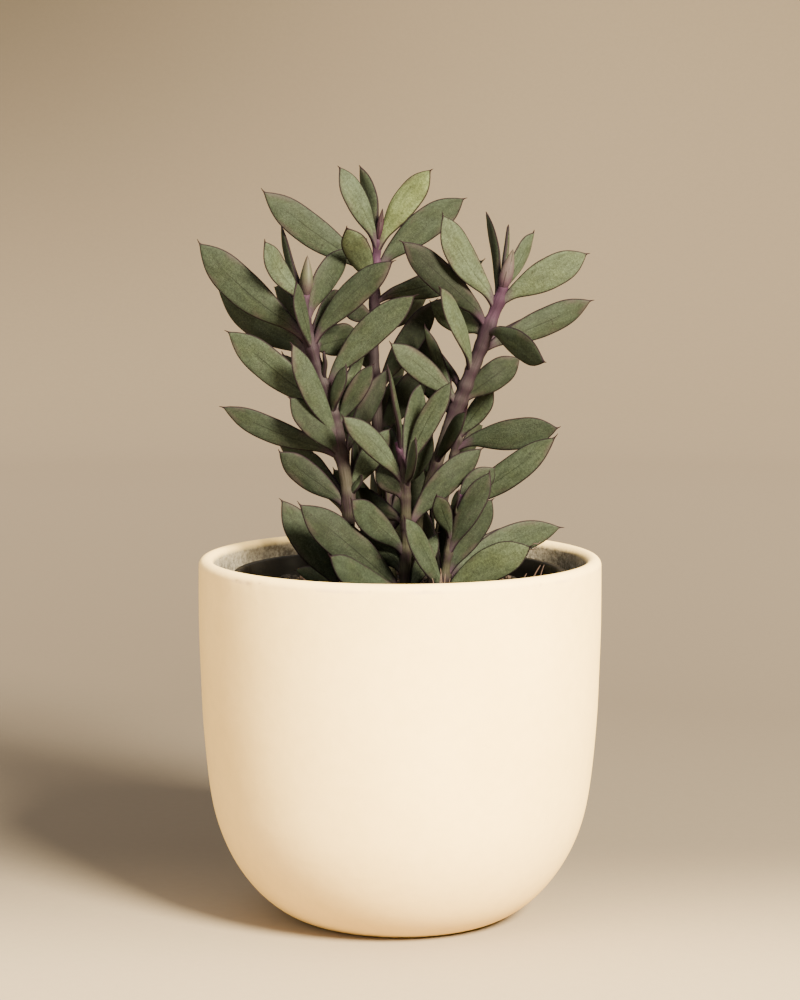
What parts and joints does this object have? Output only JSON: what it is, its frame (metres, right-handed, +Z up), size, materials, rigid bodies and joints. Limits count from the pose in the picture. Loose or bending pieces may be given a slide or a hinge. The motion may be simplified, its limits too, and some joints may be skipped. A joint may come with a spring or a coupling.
{
  "type": "potted vertical leaf senecio",
  "caption": "Leafy succulent with flat upright oval leaves on purple stems, growing in a nursery pot of soil inside a round matt ceramic planter.",
  "frame": {"origin": "middle of the planter's foot, on the surface that it stands on", "axes": "+Z up along the planter's axis, -Y towards the front of the plant, +X to the right seen from the front"},
  "size_m": [0.14, 0.14, 0.2622],
  "materials": {
    "ceramic": "matte",
    "plastic": "satin",
    "soil": "matte",
    "leaf": "satin"
  },
  "bodies": {
    "root": {"planter": "ceramic", "nursery_pot": "plastic", "soil": "soil", "stem_left": "leaf", "stem_tall": "leaf", "stem_right": "leaf", "stem_front": "leaf", "stem_low": "leaf", "stem_back": "leaf"}
  },
  "joints": []
}
